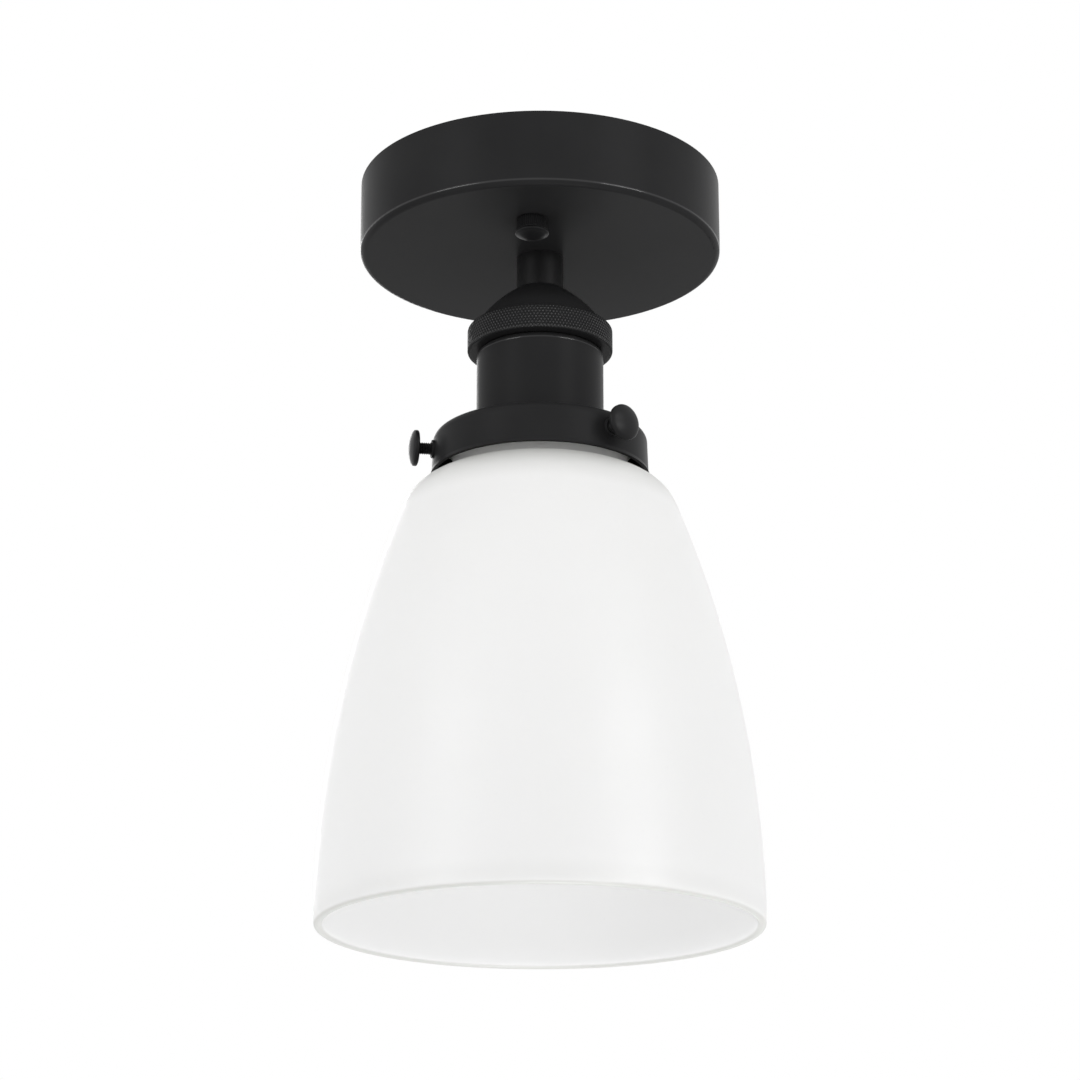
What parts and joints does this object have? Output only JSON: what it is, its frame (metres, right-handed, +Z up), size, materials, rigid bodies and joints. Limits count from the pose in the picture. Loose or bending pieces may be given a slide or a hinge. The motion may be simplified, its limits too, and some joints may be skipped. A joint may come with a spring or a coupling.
{
  "type": "glass ceiling light",
  "caption": "Semi-flush ceiling light: round black canopy, short stem, knurled socket cap and cup, and an open opal glass bell held in a shade holder by thumb screws.",
  "frame": {"origin": "centre of the mounting bar's two ceiling slots, on the ceiling plane", "axes": "+Z up into the ceiling along the light's axis; the mounting bar and the two cap nuts lie along Y; the picture looks from the -Y side and from below"},
  "size_m": [0.141, 0.141, 0.2515],
  "materials": {
    "satin_black": "satin black powder coat",
    "gloss_black": "gloss black enamel",
    "black_screws": "blackened screws and nuts",
    "opal_glass": "opal white glass, softly glossy",
    "zinc_steel": "zinc-plated steel",
    "green_zinc": "green-dyed zinc",
    "socket_brass": "plain brass",
    "socket_ceramic": "white glazed ceramic",
    "ring_plastic": "black moulded plastic"
  },
  "bodies": {
    "fixture": {"canopy": "satin_black", "socket_cap": "satin_black", "socket_body": "satin_black", "shade_holder": "satin_black", "stem_sleeve": "gloss_black", "glass_shade": "opal_glass", "mounting_bar": "zinc_steel", "canopy_studs": "zinc_steel", "stud_lock_nuts": "zinc_steel", "nipple": "zinc_steel", "lock_washer": "zinc_steel", "nipple_top_nut": "zinc_steel", "nipple_bottom_nut": "zinc_steel", "socket_strap": "zinc_steel", "strap_screws": "zinc_steel", "ground_screw": "green_zinc", "screw_shell": "socket_brass", "centre_contact": "socket_brass", "terminal_screws": "socket_brass", "socket_insulator": "socket_ceramic", "retaining_ring": "ring_plastic"},
    "canopy_nut_front": {"canopy_nut_front": "black_screws"},
    "canopy_nut_rear": {"canopy_nut_rear": "black_screws"},
    "thumb_screw_left": {"thumb_screw_left": "black_screws"},
    "thumb_screw_front": {"thumb_screw_front": "black_screws"},
    "thumb_screw_rear": {"thumb_screw_rear": "black_screws"}
  },
  "joints": [
    {"name": "canopy_nut_front_unscrew", "type": "slide", "parent": "fixture", "child": "canopy_nut_front", "axis": [0, 0, -1], "range_m": [0, 0.004]},
    {"name": "canopy_nut_rear_unscrew", "type": "slide", "parent": "fixture", "child": "canopy_nut_rear", "axis": [0, 0, -1], "range_m": [0, 0.004]},
    {"name": "thumb_screw_left_back_out", "type": "slide", "parent": "fixture", "child": "thumb_screw_left", "axis": [-0.9659, -0.2588, 0], "range_m": [0, 0.004]},
    {"name": "thumb_screw_front_back_out", "type": "slide", "parent": "fixture", "child": "thumb_screw_front", "axis": [0.7071, -0.7071, 0], "range_m": [0, 0.004]},
    {"name": "thumb_screw_rear_back_out", "type": "slide", "parent": "fixture", "child": "thumb_screw_rear", "axis": [0.2588, 0.9659, 0], "range_m": [0, 0.004]}
  ]
}
